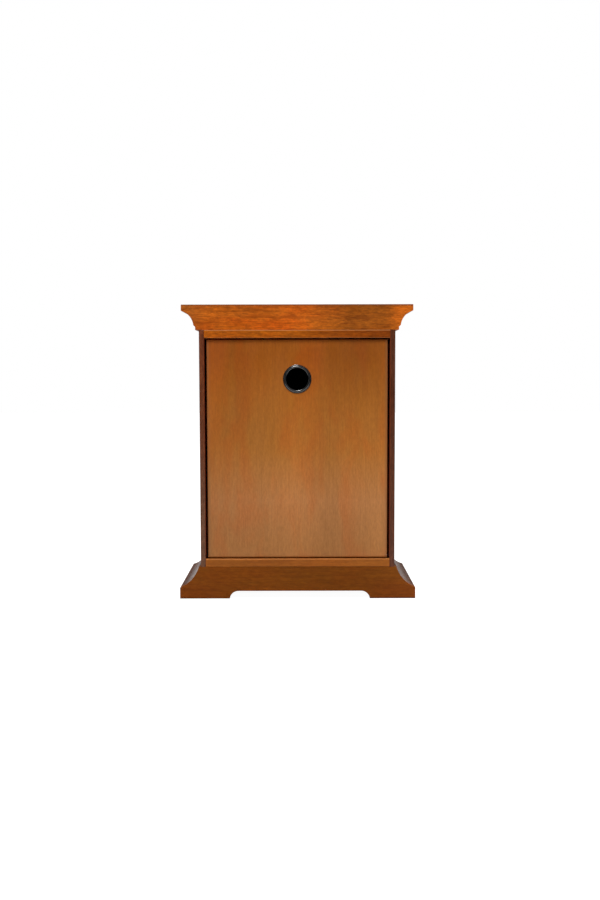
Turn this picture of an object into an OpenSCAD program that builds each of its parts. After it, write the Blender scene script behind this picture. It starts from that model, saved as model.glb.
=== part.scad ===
// Wooden book drop box: a crowned cabinet on bracket feet. Books go in through a flap slot in the
// front (+Y) and are taken out through a drop-down access door in the rear (-Y).
// The origin is on the floor under the centre of the cabinet, with +Z up.

/* [Cabinet] */
// Width over the two side panels
body_w = 460; // [420:1:560]
// Depth of the side panels
body_d = 270; // [250:1:360]
// Height from the floor to the top of the crown
total_h = 696; // [640:1:800]
// Thickness of the side panels
side_t = 12; // [10:1:16]
// Thickness of the top and bottom boards
board_t = 19; // [16:1:22]

/* [Crown and plinth] */
// Height of the crown
crown_h = 59; // [59:1:70]
// How far the crown stands out past the side panels
crown_out = 41.5; // [41.5:0.5:48]
// Height of the plinth, glides included
plinth_h = 77; // [77:1:90]
// How far the plinth stands out past the side panels
plinth_out = 50; // [50:0.5:54]
// Height of the gap between the bracket feet above the floor
notch_h = 19; // [15:0.5:25]
// Width of the straight top of that gap
notch_w = 292; // [240:1:330]

/* [Access door] */
// Thickness of the door
door_t = 12; // [10:1:14]
// How far the door lies behind the rear edges of the boards
door_recess = 7; // [5:0.5:9]
// Gap between each side of the door and its side panel
door_side_gap = 5; // [3:0.5:6]
// Gap above the door
door_top_gap = 3; // [2:0.5:5]
// Diameter of the finger ring's flange
ring_d = 67; // [66:1:72]
// Diameter of the hole through the finger ring
ring_bore_d = 52; // [44:1:56]
// Height of the ring's centre above the floor
ring_z = 522; // [460:1:540]

/* [Book slot] */
// Width of the book slot
slot_w = 340; // [280:1:350]
// Height of the book slot
slot_h = 60; // [45:1:65]
// Height of the slot's centre above the floor
slot_z = 530; // [520:1:540]
// Thickness of the front panel
front_t = 12; // [10:1:14]
// Slope of the chute below the horizontal
chute_slope = 45; // [35:1:50]

/* [Hidden] */
$fn = 64;
rail_t = 19;                             // inner rails and rear boards of the crown and plinth
glide_out = 1;                           // the glides lift the wood this far off the floor
ease = 1;                                // eased edges of the boards
drill = 0.05;                            // radial clearance round screws and turning pins
half_w = body_w / 2;
inner_w = half_w - side_t;               // half the width between the side panels
rear_y = -(body_d + plinth_out) / 2;     // the flat rear face
rail_y = rear_y + rail_t;                // behind the rear boards
front_y = rear_y + body_d;               // the side panels' front edges
crown_z = total_h - crown_h;             // underside of the crown
floor_z = plinth_h + board_t;            // top of the bottom board
ceiling_z = crown_z - board_t;           // underside of the top board

// Crown profile, measured out from the side panel and up from the crown's underside
crown_step = [8.4, 7];
crown_cove_r = 39.7;
crown_cove_c = [crown_out + 10.5, 6.4];
crown_top_t = 12;
// Plinth profile, measured out from the side panel and up from the floor
plinth_cove_r = 75.3;
plinth_cove_c = [plinth_out + 27.86, plinth_h + 19.66];
plinth_ledge = 9;
plinth_bead = 4;
notch_r = 21;
notch_x = 5;                             // the gap's centre is this far to the +X side

// Access door. It turns about pins in its lower corners, and its heel is rounded about them.
door_y = rear_y + door_recess;           // outer face
door_in_y = door_y + door_t;             // inner face
door_w = 2 * (inner_w - door_side_gap);
door_top = ceiling_z - door_top_gap;
pivot_y = door_y + door_t / 2;
pivot_z = floor_z + door_t / 2 + 0.2;
heel_drop = door_t / 2 - 2;
pin_r = 2.5;
pin_in_door = 22;
bush_l = 8;
bush_r = 4;
ring_hole_r = 30;
lip_r = 3.9;
lip_sink = 0.9;                          // the lip's centre lies this far inside the door's face
collar_t = 2;
strike_t = 1.5;
catch_x = 120;
catch_size = [46, 14, 14];

// Front panel, slot and flap
panel_y = front_y - 7 - front_t;         // inner face of the front panel
groove = 4;
slot_bottom = slot_z - slot_h / 2;
slot_top = slot_z + slot_h / 2;
trim_w = 20;
trim_t = 9;
flap_w = slot_w + 20;
flap_t = 1.5;
flap_z = slot_top + 12;                  // the rod's centre
knuckle_r = 4.5;
flap_y = panel_y - knuckle_r - 1;
rod_r = 2.5;
clip_r = 3.3;
flap_back_y = flap_y - knuckle_r;        // the sheet hangs behind the rod, so its weight closes it
flap_bottom = slot_bottom - 10;
bumper_t = 1;
bracket_t = 2;
bracket_x = flap_w / 2 + 2;              // inner face of the bracket's ear
bracket_w = 18;
bracket_h = 34;
screw_r = 1.5;
bumper_r = 3.5;
bumper_x = 150;

// Chute and floor mat
chute_t = 9;
chute_l = 140;
chute_start = [panel_y - 1, flap_bottom - 9];
chute_half_w = inner_w - 1;
cleat = 12;
mat_t = 10;
mat_margin = 4;

// Blocks, screws and glides
block = 30;
block_h = 40;
long_screw_r = 2;
glide_r = 10;
glide_t = 4;
glide_x = half_w + 26;
glide_ys = [rear_y + 34, front_y + 24];

crown_wood = "#aa5518";
door_wood = "#96602f";
side_wood = "#7c4226";
plinth_wood = "#713e16";
raw_wood = "#c9a26c";
black = "#1b1b1b";
steel = "#b4b6b8";

// ---- Helpers ----

// A box from its lowest to its highest corner
module span(lo, hi) {
  translate(lo) cube(hi - lo);
}

// Extrudes a profile drawn as (x, z) from y0 to y1
module along_y(y0, y1) {
  translate([0, y1, 0]) rotate([90, 0, 0]) linear_extrude(y1 - y0) children();
}

// Extrudes a profile drawn as (y, z) from x0 to x1
module along_x(x0, x1) {
  translate([x0, 0, 0]) rotate([90, 0, 90]) linear_extrude(x1 - x0) children();
}

// A cylinder along X from x0 to x1, through (y, z)
module rod_x(r, x0, x1, y, z) {
  translate([x0, y, z]) rotate([0, 90, 0]) cylinder(r = r, h = x1 - x0);
}

// A cylinder along Y from y0 to y1, through (x, z)
module rod_y(r, y0, y1, x, z) {
  translate([x, y1, z]) rotate([90, 0, 0]) cylinder(r = r, h = y1 - y0);
}

// Both sides of the cabinet
module both_sides() {
  children();
  mirror([1, 0, 0]) children();
}

// A board's (y, z) section with its two rear corners eased
module eased_section(y0, z0, y1, z1) {
  polygon([[y0 + ease, z0], [y1, z0], [y1, z1], [y0 + ease, z1], [y0, z1 - ease], [y0, z0 + ease]]);
}

// A countersunk screw pointing up, with the flat of its head at z = 0
module countersunk(r, l) {
  cylinder(r = r, h = l);
  cylinder(r1 = 2 * r, r2 = r, h = r);
}

// ---- Crown and plinth profiles ----

module crown_profile() {
  translate([0, crown_z]) difference() {
    polygon([[0, 0], [crown_step[0], 0], crown_step, [12.5, 10.8], [crown_out, 10.8],
      [crown_out, crown_h - ease], [crown_out - ease, crown_h], [0, crown_h]]);
    translate(crown_cove_c) circle(crown_cove_r, $fn = 96);
  }
}

module plinth_profile() {
  difference() {
    union() {
      polygon([[0, glide_out], [plinth_out, glide_out], [plinth_out, plinth_h - 11],
        [plinth_ledge, plinth_h - 11], [plinth_ledge, plinth_h - plinth_bead],
        [plinth_ledge - plinth_bead, plinth_h], [0, plinth_h]]);
      translate([plinth_ledge - plinth_bead, plinth_h - plinth_bead]) circle(plinth_bead);
    }
    translate(plinth_cove_c) circle(plinth_cove_r, $fn = 96);
  }
}

// The gap between two bracket feet, with rounded upper corners
module notch_outline() {
  translate([notch_x - notch_w / 2, -10]) square([notch_w, notch_h + 10]);
  for (side = [-1, 1])
    translate([notch_x + side * notch_w / 2, notch_h - notch_r]) circle(notch_r);
}

// Plan of the stretch of a side moulding that ends in a mitre at the front corner
module side_run_plan(out) {
  polygon([[half_w - 1, rail_y], [half_w + out + 1, rail_y],
    [half_w + out + 1, front_y + out + 1], [half_w - 1, front_y - 1]]);
}

// Plan of the front moulding, mitred at both ends
module front_run_plan(out) {
  polygon([[1 - half_w, front_y - 1], [half_w - 1, front_y - 1],
    [half_w + out + 1, front_y + out + 1], [-half_w - out - 1, front_y + out + 1]]);
}

// The child is the profile, drawn outward from the side panel
module side_moulding(out) {
  intersection() {
    along_y(rail_y, front_y + out + 1) translate([half_w, 0]) children();
    linear_extrude(total_h + 1) side_run_plan(out);
  }
}

module front_moulding(out) {
  intersection() {
    along_x(-half_w - out, half_w + out) translate([front_y, 0]) children();
    linear_extrude(total_h + 1) front_run_plan(out);
  }
}

// ---- Carcass ----

module side_panel() {
  difference() {
    translate([0, 0, plinth_h]) linear_extrude(crown_z - plinth_h)
      polygon([[inner_w + ease, rear_y], [half_w - ease, rear_y], [half_w, rear_y + ease],
        [half_w, front_y - ease], [half_w - ease, front_y], [inner_w, front_y],
        [inner_w, rear_y + ease]]);
    span([inner_w - 1, panel_y, floor_z - groove], [inner_w + groove, panel_y + front_t, ceiling_z + groove]);
    rod_x(bush_r, inner_w - 1, inner_w + bush_l, pivot_y, pivot_z);
  }
}

module side_panel_left() { color(side_wood) mirror([1, 0, 0]) side_panel(); }
module side_panel_right() { color(side_wood) side_panel(); }

module top_board() {
  color(crown_wood) difference() {
    along_x(-inner_w, inner_w) eased_section(rear_y, ceiling_z, front_y, crown_z);
    span([-inner_w - 1, panel_y, ceiling_z - 1], [inner_w + 1, panel_y + front_t, ceiling_z + groove]);
    crown_screw_places() countersunk(long_screw_r + drill, block_h);
    catch_screw_places() cylinder(r = screw_r + drill, h = catch_size[2] + 13);
  }
}

module bottom_board() {
  color(crown_wood) difference() {
    along_x(-inner_w, inner_w) eased_section(rear_y, plinth_h, front_y, floor_z);
    span([-inner_w - 1, panel_y, floor_z - groove], [inner_w + 1, panel_y + front_t, floor_z + 1]);
    plinth_screw_places() cylinder(r = long_screw_r + drill, h = 55);
  }
}

module front_panel() {
  tongue = groove - 0.5;
  color(door_wood) difference() {
    span([-inner_w - tongue, panel_y, floor_z - tongue], [inner_w + tongue, panel_y + front_t, ceiling_z + tongue]);
    span([-slot_w / 2, panel_y - 1, slot_bottom], [slot_w / 2, panel_y + front_t + 1, slot_top]);
    bracket_screw_places() cylinder(r = screw_r + drill, h = 9);
  }
}

// One length of slot trim, drawn along X above the slot and mitred at its ends
module slot_trim(length) {
  front = panel_y + front_t;
  intersection() {
    along_x(-length / 2 - trim_w, length / 2 + trim_w)
      polygon([[front, 0], [front, trim_w], [front + trim_t - 4, trim_w], [front + trim_t, trim_w - 4],
        [front + trim_t, 7], [front + 4, 0]]);
    along_y(front - 1, front + trim_t + 1)
      polygon([[-length / 2, 0], [length / 2, 0], [length / 2 + trim_w, trim_w], [-length / 2 - trim_w, trim_w]]);
  }
}

module slot_trim_top() { color(plinth_wood) translate([0, 0, slot_top]) slot_trim(slot_w); }
module slot_trim_bottom() { color(plinth_wood) translate([0, 0, slot_bottom]) mirror([0, 0, 1]) slot_trim(slot_w); }
module slot_trim_right() {
  color(plinth_wood) translate([slot_w / 2, 0, slot_z]) rotate([0, 90, 0]) slot_trim(slot_h);
}
module slot_trim_left() {
  color(plinth_wood) translate([-slot_w / 2, 0, slot_z]) rotate([0, -90, 0]) slot_trim(slot_h);
}

// ---- Crown ----

module crown_rear_board() {
  color(crown_wood) along_y(rear_y, rail_y) {
    translate([-half_w, crown_z]) square([body_w, crown_h]);
    translate([half_w, 0]) crown_profile();
    mirror([1, 0]) translate([half_w, 0]) crown_profile();
  }
}

module crown_moulding_right() { color(crown_wood) side_moulding(crown_out) crown_profile(); }
module crown_moulding_left() { color(crown_wood) mirror([1, 0, 0]) side_moulding(crown_out) crown_profile(); }
module crown_moulding_front() { color(crown_wood) front_moulding(crown_out) crown_profile(); }

module crown_rail_right() {
  color(raw_wood) span([half_w - rail_t, rail_y, crown_z], [half_w, front_y - rail_t, total_h - crown_top_t]);
}
module crown_rail_left() { mirror([1, 0, 0]) crown_rail_right(); }
module crown_rail_front() {
  color(raw_wood) span([-half_w, front_y - rail_t, crown_z], [half_w, front_y, total_h - crown_top_t]);
}

module crown_top_panel() {
  color(crown_wood) translate([0, 0, total_h - crown_top_t]) {
    span([-half_w, rail_y, 0], [half_w, front_y, crown_top_t - ease]);
    span([ease - half_w, rail_y + ease, 0], [half_w - ease, front_y - ease, crown_top_t]);
  }
}

// The corners inside the rails, as plan positions of square blocks
module block_corners() {
  x = half_w - rail_t - block;
  both_sides() for (y = [rail_y, front_y - rail_t - block]) translate([x, y, 0]) children();
}

module crown_screw_places() {
  block_corners() translate([block / 2, block / 2, ceiling_z]) children();
}

module plinth_screw_places() {
  block_corners() translate([block / 2, block / 2, plinth_h - block_h]) children();
}

module crown_corner_blocks() {
  color(raw_wood) difference() {
    block_corners() translate([0, 0, crown_z]) cube([block, block, block_h]);
    crown_screw_places() cylinder(r = long_screw_r + drill, h = block_h);
  }
}

module crown_screws() { color(steel) crown_screw_places() countersunk(long_screw_r, block_h - 1); }

// ---- Plinth ----

module plinth_rear_board() {
  color(plinth_wood) along_y(rear_y, rail_y) difference() {
    union() {
      translate([-half_w, glide_out]) square([body_w, plinth_h - glide_out]);
      translate([half_w, 0]) plinth_profile();
      mirror([1, 0]) translate([half_w, 0]) plinth_profile();
    }
    notch_outline();
  }
}

module glide_places() {
  both_sides() for (y = glide_ys) translate([glide_x, y, 0]) children();
}

module plinth_moulding_right() {
  color(plinth_wood) difference() {
    side_moulding(plinth_out) plinth_profile();
    glide_places() cylinder(r = glide_r + drill, h = glide_t);
  }
}
module plinth_moulding_left() { mirror([1, 0, 0]) plinth_moulding_right(); }

module plinth_moulding_front() {
  color(plinth_wood) difference() {
    front_moulding(plinth_out) plinth_profile();
    along_y(front_y - 1, front_y + plinth_out + 1) notch_outline();
    glide_places() cylinder(r = glide_r + drill, h = glide_t);
  }
}

module plinth_rail_right() {
  color(raw_wood) span([half_w - rail_t, rail_y, notch_h + 1], [half_w, front_y - rail_t, plinth_h]);
}
module plinth_rail_left() { mirror([1, 0, 0]) plinth_rail_right(); }
module plinth_rail_front() {
  color(raw_wood) span([-half_w, front_y - rail_t, notch_h + 1], [half_w, front_y, plinth_h]);
}

module plinth_corner_blocks() {
  color(raw_wood) difference() {
    block_corners() translate([0, 0, plinth_h - block_h]) cube([block, block, block_h]);
    plinth_screw_places() countersunk(long_screw_r + drill, block_h);
  }
}

module plinth_screws() { color(steel) plinth_screw_places() countersunk(long_screw_r, 54); }
module glides() { color("#d8d4c8") glide_places() cylinder(r = glide_r, h = glide_t); }

// ---- Access door ----

// The door's (y, z) section, with a heel rounded about the pins
module door_section() {
  translate([door_y, pivot_z]) polygon([[0, 0], [door_t, 0], [door_t, door_top - pivot_z],
    [1.5, door_top - pivot_z], [0, door_top - pivot_z - 1.5]]);
  intersection() {
    translate([pivot_y, pivot_z]) circle(door_t / 2);
    translate([door_y, pivot_z - heel_drop]) square([door_t, heel_drop + 1]);
  }
}

// The door's plan, with the outer vertical edges eased
module door_plan() {
  w = door_w / 2;
  polygon([[1.5 - w, door_y], [w - 1.5, door_y], [w, door_y + 1.5], [w, door_in_y], [-w, door_in_y],
    [-w, door_y + 1.5]]);
}

module access_door() {
  color(door_wood) difference() {
    intersection() {
      along_x(-door_w / 2, door_w / 2) door_section();
      linear_extrude(total_h) door_plan();
    }
    rod_y(ring_hole_r, door_y - 1, door_in_y + 1, 0, ring_z);
    both_sides() rod_x(pin_r, door_w / 2 - pin_in_door, door_w / 2 + 1, pivot_y, pivot_z);
    strike_screw_places() cylinder(r = screw_r + drill, h = 9);
  }
}

module finger_ring() {
  sleeve_end = door_t + collar_t + 0.5;
  color(black) translate([0, door_y, ring_z]) rotate([-90, 0, 0]) rotate_extrude($fn = 96) {
    translate([ring_bore_d / 2, 0]) square([ring_hole_r - ring_bore_d / 2, sleeve_end]);
    intersection() {
      translate([(ring_d + ring_bore_d) / 4, lip_sink]) circle(lip_r);
      translate([ring_bore_d / 2, -lip_r]) square([(ring_d - ring_bore_d) / 2, lip_r]);
    }
  }
}

module ring_collar() {
  color(black) difference() {
    rod_y(ring_hole_r + 5, door_in_y, door_in_y + collar_t, 0, ring_z);
    rod_y(ring_hole_r, door_in_y - 1, door_in_y + collar_t + 1, 0, ring_z);
  }
}

module door_pin() {
  rod_x(pin_r, door_w / 2 - pin_in_door, inner_w + bush_l - 0.5, pivot_y, pivot_z);
}
module door_pin_right() { color(steel) door_pin(); }
module door_pin_left() { color(steel) mirror([1, 0, 0]) door_pin(); }

module door_bushes() {
  color("#e8e6de") both_sides() difference() {
    rod_x(bush_r, inner_w, inner_w + bush_l, pivot_y, pivot_z);
    rod_x(pin_r + drill, inner_w - 1, inner_w + bush_l + 1, pivot_y, pivot_z);
  }
}

module door_washers() {
  color("#e8e6de") both_sides() difference() {
    rod_x(bush_r + 1, inner_w - door_side_gap + 0.4, inner_w, pivot_y, pivot_z);
    rod_x(pin_r + drill, inner_w - door_side_gap - 1, inner_w + 1, pivot_y, pivot_z);
  }
}

module door_stop() {
  color(side_wood) span([-80, door_in_y + 0.4, ceiling_z - 12], [80, door_in_y + 12.4, ceiling_z]);
}

module strike_screw_places() {
  both_sides() for (dx = [-15, 15])
    translate([catch_x + dx, door_in_y, ceiling_z - 10]) rotate([90, 0, 0]) children();
}

module strike_plate(x) {
  color(steel) difference() {
    span([x - 19, door_in_y, ceiling_z - 17], [x + 19, door_in_y + strike_t, ceiling_z - 4]);
    strike_screw_places() translate([0, 0, -strike_t - 1]) cylinder(r = screw_r + drill, h = strike_t + 2);
  }
}
module strike_plate_left() { strike_plate(-catch_x); }
module strike_plate_right() { strike_plate(catch_x); }
module strike_screws() {
  color(steel) strike_screw_places() {
    translate([0, 0, -strike_t]) cylinder(r = screw_r, h = strike_t + 8);
    translate([0, 0, -strike_t - 1]) cylinder(r = 2 * screw_r, h = 1);
  }
}

catch_y = door_in_y + strike_t + 1.5;    // front face of the catches

module catch_screw_places() {
  both_sides() for (dx = [-17, 17])
    translate([catch_x + dx, catch_y + catch_size[1] / 2, ceiling_z - catch_size[2]]) children();
}

module catch_case(x) {
  color("#5a3a22") difference() {
    translate([x - catch_size[0] / 2, catch_y, ceiling_z - catch_size[2]]) cube(catch_size);
    translate([x - 11, catch_y - 1, ceiling_z - catch_size[2] + 4]) cube([22, 9, 6]);
    catch_screw_places() cylinder(r = screw_r + drill, h = catch_size[2]);
  }
}
module catch_case_left() { catch_case(-catch_x); }
module catch_case_right() { catch_case(catch_x); }

module catch_magnets() {
  color(steel) both_sides()
    translate([catch_x - 11, catch_y - 1, ceiling_z - catch_size[2] + 4]) cube([22, 9, 6]);
}

module catch_screws() {
  color(steel) catch_screw_places() {
    cylinder(r = screw_r, h = catch_size[2] + 12);
    translate([0, 0, -1.5]) cylinder(r = 2 * screw_r, h = 1.5);
  }
}

// ---- Slot flap ----

module slot_flap() {
  color(black) difference() {
    union() {
      rod_x(knuckle_r, -flap_w / 2, flap_w / 2, flap_y, flap_z);
      span([-flap_w / 2, flap_back_y, flap_bottom], [flap_w / 2, flap_back_y + flap_t, flap_z]);
      span([-flap_w / 2, flap_back_y, flap_bottom],
        [flap_w / 2, panel_y - bumper_t - 0.2, flap_bottom + flap_t]);
    }
    rod_x(rod_r + drill, -flap_w, flap_w, flap_y, flap_z);
  }
}

module flap_rod() { color(steel) rod_x(rod_r, -bracket_x - 5, bracket_x + 5, flap_y, flap_z); }

module rod_clips() {
  color(steel) both_sides() difference() {
    rod_x(clip_r, bracket_x + bracket_t, bracket_x + bracket_t + 1, flap_y, flap_z);
    rod_x(rod_r, bracket_x, bracket_x + bracket_t + 2, flap_y, flap_z);
  }
}

module bracket_screw_places() {
  both_sides() for (dz = [-11, 11])
    translate([bracket_x + bracket_w / 2 + 2, panel_y, flap_z - 6 + dz]) rotate([-90, 0, 0]) children();
}

module flap_bracket() {
  z0 = flap_z - 6 - bracket_h / 2;
  color(black) difference() {
    union() {
      span([bracket_x, panel_y - bracket_t, z0], [bracket_x + bracket_w, panel_y, z0 + bracket_h]);
      span([bracket_x, flap_y - 7, z0 + 8], [bracket_x + bracket_t, panel_y, z0 + bracket_h]);
    }
    rod_x(rod_r, bracket_x - 1, bracket_x + bracket_t + 1, flap_y, flap_z);
    bracket_screw_places() translate([0, 0, -bracket_t - 1]) cylinder(r = screw_r + drill, h = bracket_t + 2);
  }
}
module flap_bracket_right() { flap_bracket(); }
module flap_bracket_left() { mirror([1, 0, 0]) flap_bracket(); }

module bracket_screws() {
  color(steel) bracket_screw_places() {
    translate([0, 0, -bracket_t]) cylinder(r = screw_r, h = bracket_t + 8);
    translate([0, 0, -bracket_t - 1.5]) cylinder(r = 2 * screw_r, h = 1.5);
  }
}

module flap_bumpers() {
  color("#333333") both_sides()
    rod_y(bumper_r, panel_y - bumper_t, panel_y, bumper_x, flap_bottom + flap_t / 2);
}

// ---- Chute and mat ----

// Places its children on the chute's top surface: -Y runs down the slope and +Z stands off it
module on_chute() {
  translate([0, chute_start[0], chute_start[1]]) rotate([chute_slope, 0, 0]) children();
}

module chute_screw_places() {
  both_sides() for (y = [-35, -105]) translate([inner_w - cleat / 2, y, 0]) children();
}

module chute_board() {
  color(door_wood) difference() {
    on_chute() difference() {
      span([-chute_half_w, -chute_l, -chute_t], [chute_half_w, 0, 0]);
      chute_screw_places() mirror([0, 0, 1]) countersunk(screw_r + drill, chute_t + 1);
    }
    span([-half_w, panel_y - 0.5, 0], [half_w, front_y, total_h]);
  }
}

module chute_cleat_right() {
  color(raw_wood) on_chute() difference() {
    span([inner_w - cleat, -chute_l + 12, -chute_t - cleat], [inner_w, -24, -chute_t]);
    chute_screw_places() mirror([0, 0, 1]) cylinder(r = screw_r + drill, h = chute_t + 10);
  }
}
module chute_cleat_left() { mirror([1, 0, 0]) chute_cleat_right(); }
module chute_screws() {
  color(steel) on_chute() chute_screw_places() mirror([0, 0, 1]) countersunk(screw_r, chute_t + 9);
}

module floor_mat() {
  color("#3c4a40") span([mat_margin - inner_w, door_in_y + mat_margin, floor_z],
    [inner_w - mat_margin, panel_y - 2, floor_z + mat_t]);
}

// ---- Nodes ----

side_panel_left();
side_panel_right();
top_board();
bottom_board();
front_panel();
slot_trim_top();
slot_trim_bottom();
slot_trim_left();
slot_trim_right();
crown_rear_board();
crown_moulding_left();
crown_moulding_right();
crown_moulding_front();
crown_rail_left();
crown_rail_right();
crown_rail_front();
crown_top_panel();
crown_corner_blocks();
crown_screws();
plinth_rear_board();
plinth_moulding_left();
plinth_moulding_right();
plinth_moulding_front();
plinth_rail_left();
plinth_rail_right();
plinth_rail_front();
plinth_corner_blocks();
plinth_screws();
glides();
access_door();
finger_ring();
ring_collar();
door_pin_left();
door_pin_right();
strike_plate_left();
strike_plate_right();
strike_screws();
door_bushes();
door_washers();
door_stop();
catch_case_left();
catch_case_right();
catch_magnets();
catch_screws();
slot_flap();
flap_rod();
rod_clips();
flap_bracket_left();
flap_bracket_right();
bracket_screws();
flap_bumpers();
chute_board();
chute_cleat_left();
chute_cleat_right();
chute_screws();
floor_mat();
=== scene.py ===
"""Looks for the book drop box: camera, light, finishes, and small parts more detailed than the frame's.

Lengths are in metres. The rear face, with the access door, looks along -Y, towards the camera.
"""

import math

import bmesh
import bpy
from mathutils import Matrix, Vector, noise


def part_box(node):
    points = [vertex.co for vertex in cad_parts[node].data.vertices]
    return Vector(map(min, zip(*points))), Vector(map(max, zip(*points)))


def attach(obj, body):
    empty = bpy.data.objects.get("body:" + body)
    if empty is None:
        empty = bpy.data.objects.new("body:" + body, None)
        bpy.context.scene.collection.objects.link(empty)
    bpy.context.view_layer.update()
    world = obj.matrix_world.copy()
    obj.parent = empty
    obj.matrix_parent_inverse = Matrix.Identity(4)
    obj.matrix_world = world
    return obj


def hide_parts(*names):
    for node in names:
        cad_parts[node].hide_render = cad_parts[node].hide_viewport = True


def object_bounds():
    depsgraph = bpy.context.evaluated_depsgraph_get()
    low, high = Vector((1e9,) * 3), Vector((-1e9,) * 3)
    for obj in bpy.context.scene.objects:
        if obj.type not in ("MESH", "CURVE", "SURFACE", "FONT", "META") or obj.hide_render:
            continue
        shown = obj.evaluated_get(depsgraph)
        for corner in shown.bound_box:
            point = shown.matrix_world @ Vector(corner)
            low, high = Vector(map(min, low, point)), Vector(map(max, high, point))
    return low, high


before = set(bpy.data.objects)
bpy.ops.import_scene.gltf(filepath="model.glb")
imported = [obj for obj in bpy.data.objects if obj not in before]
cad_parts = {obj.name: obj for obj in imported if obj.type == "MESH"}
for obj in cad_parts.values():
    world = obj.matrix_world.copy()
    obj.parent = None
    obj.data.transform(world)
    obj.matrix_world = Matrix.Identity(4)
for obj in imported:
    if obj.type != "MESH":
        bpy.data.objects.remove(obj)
cad_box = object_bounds()
scene = bpy.context.scene
MM = 0.001

# ---- Camera ----

LENS, SENSOR_WIDTH = 41.48, 36  # mm
CAMERA_PLACE = (0.0062, -2.598, 0.531)
CAMERA_DOWN, CAMERA_ROLL = 4.125, -0.12  # degrees

camera = bpy.data.objects.new("camera", bpy.data.cameras.new("camera"))
scene.collection.objects.link(camera)
camera.data.lens = LENS
camera.data.sensor_width = SENSOR_WIDTH
camera.matrix_world = (
    Matrix.Translation(CAMERA_PLACE)
    @ Matrix.Rotation(math.radians(90 - CAMERA_DOWN), 4, "X")
    @ Matrix.Rotation(math.radians(CAMERA_ROLL), 4, "Z")
)
scene.camera = camera
scene.view_settings.view_transform = "Standard"


# ---- Node building ----


def srgb(r, g, b):
    """A colour given in 0-255 display values, as linear RGBA."""
    return (*[(c / 255 / 12.92) if c < 10.3 else ((c / 255 + 0.055) / 1.055) ** 2.4 for c in (r, g, b)], 1.0)


def toned(colour, r, g=None, b=None):
    """A linear colour with its channels scaled."""
    scale = (r, r if g is None else g, r if b is None else b)
    return (*[c * s for c, s in zip(colour, scale)], 1.0)


class Graph:
    """Short calls for building one node tree."""

    def __init__(self, tree):
        self.tree = tree
        tree.nodes.clear()

    def put(self, socket, value):
        """Links value to the socket, or sets the socket to it."""
        if isinstance(value, bpy.types.NodeSocket):
            self.tree.links.new(value, socket)
        else:
            socket.default_value = value

    def node(self, kind, inputs=None, **settings):
        made = self.tree.nodes.new(kind)
        for key, value in settings.items():
            setattr(made, key, value)
        for key, value in (inputs or {}).items():
            self.put(made.inputs[key], value)
        return made

    def math(self, operation, a, b=0.0, c=0.0):
        return self.node("ShaderNodeMath", {0: a, 1: b, 2: c}, operation=operation).outputs[0]

    def add(self, a, b):
        return self.math("ADD", a, b)

    def mul(self, a, b):
        return self.math("MULTIPLY", a, b)

    def fit(self, value, low, high, to_low=0.0, to_high=1.0, smooth=False):
        """value mapped from low..high to to_low..to_high, and held inside it."""
        return self.node(
            "ShaderNodeMapRange",
            {0: value, 1: low, 2: high, 3: to_low, 4: to_high},
            interpolation_type="SMOOTHSTEP" if smooth else "LINEAR",
        ).outputs[0]

    def xyz(self, x, y, z):
        return self.node("ShaderNodeCombineXYZ", {0: x, 1: y, 2: z}).outputs[0]

    def stretch(self, vector, scale, offset=(0, 0, 0)):
        made = self.node("ShaderNodeMapping", {"Vector": vector})
        made.inputs["Scale"].default_value = scale
        made.inputs["Location"].default_value = offset
        return made.outputs[0]

    def noise(self, vector, scale, detail=2.0, roughness=0.5, distortion=0.0):
        return self.node(
            "ShaderNodeTexNoise",
            {"Vector": vector, "Scale": scale, "Detail": detail, "Roughness": roughness,
             "Distortion": distortion},
        ).outputs[0]

    def mix(self, factor, a, b, blend="MIX"):
        made = self.node("ShaderNodeMix", data_type="RGBA", blend_type=blend, clamp_factor=True)
        for index, value in ((0, factor), (6, a), (7, b)):
            self.put(made.inputs[index], value)
        return made.outputs[2]

    def bright(self, colour, value):
        """colour times a grey value."""
        return self.mix(1.0, colour, self.xyz(value, value, value), "MULTIPLY")

    def ramp(self, value, *stops):
        """stops are (place, colour) or (place, grey) from left to right."""
        made = self.node("ShaderNodeValToRGB", {0: value})
        elements = made.color_ramp.elements
        while len(elements) < len(stops):
            elements.new(1.0)
        for element, (place, colour) in zip(elements, stops):
            element.position = place
            element.color = colour if isinstance(colour, tuple) else (colour, colour, colour, 1)
        return made.outputs[0]

    def bump(self, height, strength, distance):
        return self.node(
            "ShaderNodeBump", {"Height": height, "Strength": strength, "Distance": distance}
        ).outputs[0]


def start(name):
    """A new material: its graph, its principled shader and its object coordinates."""
    material = bpy.data.materials.new(name)
    material.use_nodes = True
    g = Graph(material.node_tree)
    g.out = g.node("ShaderNodeOutputMaterial")
    shader = g.node("ShaderNodeBsdfPrincipled")
    g.put(g.out.inputs["Surface"], shader.outputs[0])
    g.coords = g.node("ShaderNodeTexCoord")
    return material, g, shader


# ---- Wood ----

GRAIN = {"X": (1, 2, 0), "Y": (0, 2, 1), "Z": (0, 1, 2)}  # across, depth and along, as axes of the frame


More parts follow.
